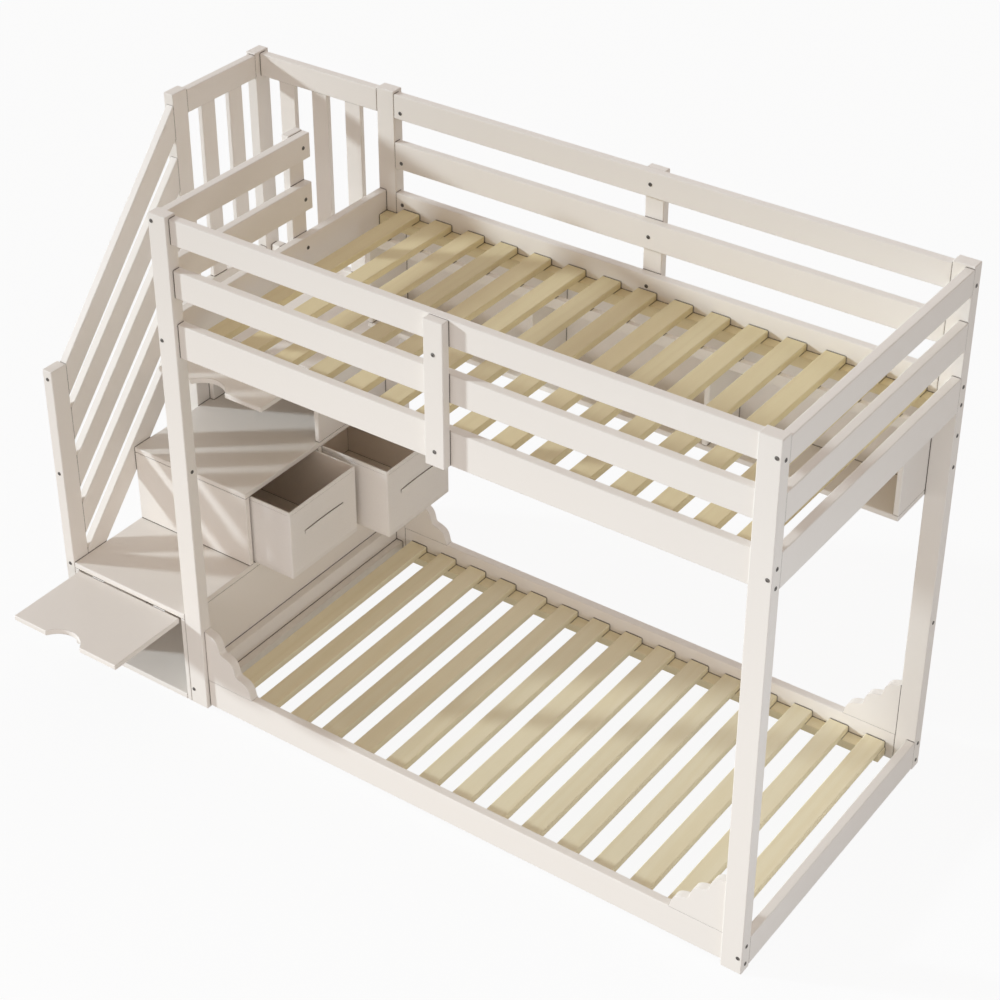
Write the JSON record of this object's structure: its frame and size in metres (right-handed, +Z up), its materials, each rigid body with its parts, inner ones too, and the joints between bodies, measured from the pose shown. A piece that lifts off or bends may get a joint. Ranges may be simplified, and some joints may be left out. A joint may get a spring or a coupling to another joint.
{
  "type": "bunk bed with storage stairs",
  "caption": "Low bunk bed frame with slatted decks, guard boards and a hanging shelf, entered by box stairs that hold lift-up flap cupboards and pull-out bins.",
  "frame": {"origin": "centre of the bounding box of the bed, stairs and open lower flap, at the floor", "axes": "+X along the bed from the stairs to the foot end, +Y from the open front to the back, +Z up"},
  "size_m": [2.4974, 1.365, 1.728],
  "materials": {
    "painted_wood": "satin warm white paint",
    "bare_pine": "bare planed pine",
    "bin_fabric": "woven greige fabric on board",
    "hinge_steel": "zinc plated",
    "bolt_steel": "dark zinc"
  },
  "bodies": {
    "bed_and_stairs": {"back_batten": "painted_wood", "back_deck_rail": "painted_wood", "back_floor_rail": "painted_wood", "back_guards": "painted_wood", "base_floor": "painted_wood", "base_sides": "painted_wood", "bay_divider": "painted_wood", "bay_outer_side": "painted_wood", "bolt_heads": "bolt_steel", "bracket_back_left": "painted_wood", "bracket_back_right": "painted_wood", "bracket_front_left": "painted_wood", "bracket_front_right": "painted_wood", "entry_post": "painted_wood", "fixed_hinges": "hinge_steel", "foot_deck_rail": "painted_wood", "foot_floor_rail": "painted_wood", "foot_guards": "painted_wood", "front_batten": "painted_wood", "front_deck_rail": "painted_wood", "front_floor_rail": "painted_wood", "front_guards": "painted_wood", "head_deck_rail": "painted_wood", "head_floor_rail": "painted_wood", "head_guards": "painted_wood", "joining_cleat": "painted_wood", "landing_back_foot_rail": "painted_wood", "landing_back_rail": "painted_wood", "landing_box_sides": "painted_wood", "landing_guard_slats": "painted_wood", "landing_side_foot_rail": "painted_wood", "landing_side_rail": "painted_wood", "lower_end_cleat": "painted_wood", "lower_ledgers": "bare_pine", "lower_slats": "bare_pine", "post_back_left": "painted_wood", "post_back_right": "painted_wood", "post_front_left": "painted_wood", "post_front_right": "painted_wood", "riser_two": "painted_wood", "shelf_back": "painted_wood", "shelf_long_boards": "painted_wood", "shelf_uprights": "painted_wood", "stair_back_panel": "painted_wood", "stair_bars": "painted_wood", "stair_handrail": "painted_wood", "stair_post_back": "painted_wood", "stair_post_front": "painted_wood", "stair_post_middle": "painted_wood", "tread_one": "painted_wood", "tread_three": "painted_wood", "tread_two": "painted_wood", "upper_ledgers": "bare_pine", "upper_slats": "bare_pine"},
    "flap_lower": {"flap_lower": "painted_wood", "flap_hinges_lower": "hinge_steel"},
    "flap_upper": {"flap_upper": "painted_wood", "flap_hinges_upper": "hinge_steel"},
    "bin_front": {"bin_front": "bin_fabric"},
    "bin_rear": {"bin_rear": "bin_fabric"}
  },
  "joints": [
    {"name": "lower_flap_hinge", "type": "hinge", "parent": "bed_and_stairs", "child": "flap_lower", "pos_m": [-0.97675, -0.3965, 0.32], "axis": [1, 0, 0], "range_deg": [0, 90]},
    {"name": "upper_flap_hinge", "type": "hinge", "parent": "bed_and_stairs", "child": "flap_upper", "pos_m": [-0.97675, 0.2775, 0.864], "axis": [1, 0, 0], "range_deg": [0, 90]},
    {"name": "front_bin_slide", "type": "slide", "parent": "bed_and_stairs", "child": "bin_front", "axis": [1, 0, 0], "range_m": [-0.161, 0.143]},
    {"name": "rear_bin_slide", "type": "slide", "parent": "bed_and_stairs", "child": "bin_rear", "axis": [1, 0, 0], "range_m": [-0.268, 0.036]}
  ]
}
